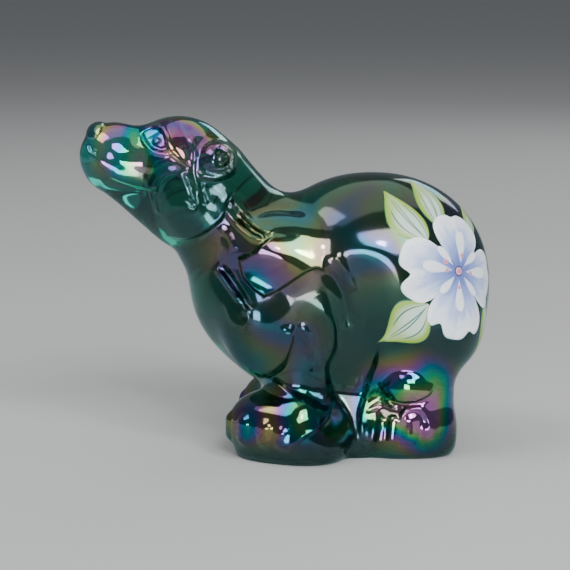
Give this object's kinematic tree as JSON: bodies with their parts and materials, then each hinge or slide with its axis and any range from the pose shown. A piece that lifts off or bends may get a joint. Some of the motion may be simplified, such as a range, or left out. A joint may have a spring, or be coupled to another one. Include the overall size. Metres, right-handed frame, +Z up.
{
  "type": "polar bear figurine",
  "caption": "Solid pressed-glass polar bear standing on all fours with its nose raised, with a lustre finish and a painted blossom on the flank.",
  "frame": {"origin": "middle of the bounding box in plan, on the ground the feet stand on", "axes": "-X towards the nose, +X towards the rump, -Y the near flank of the picture (the bear's left), +Z up"},
  "size_m": [0.1114, 0.0612, 0.0906],
  "materials": {
    "teal_glass": "deep emerald-teal pressed glass, glossy, with a thin iridescent lustre coat",
    "petal_enamel": "pale blue-white enamel paint with lavender-blue shading, for the petals and stamens of the painted blossom",
    "leaf_enamel": "yellow-green enamel paint with whitish middles and dark veins, for the painted leaves"
  },
  "bodies": {
    "root": {"polar_bear": "teal_glass"}
  },
  "joints": []
}
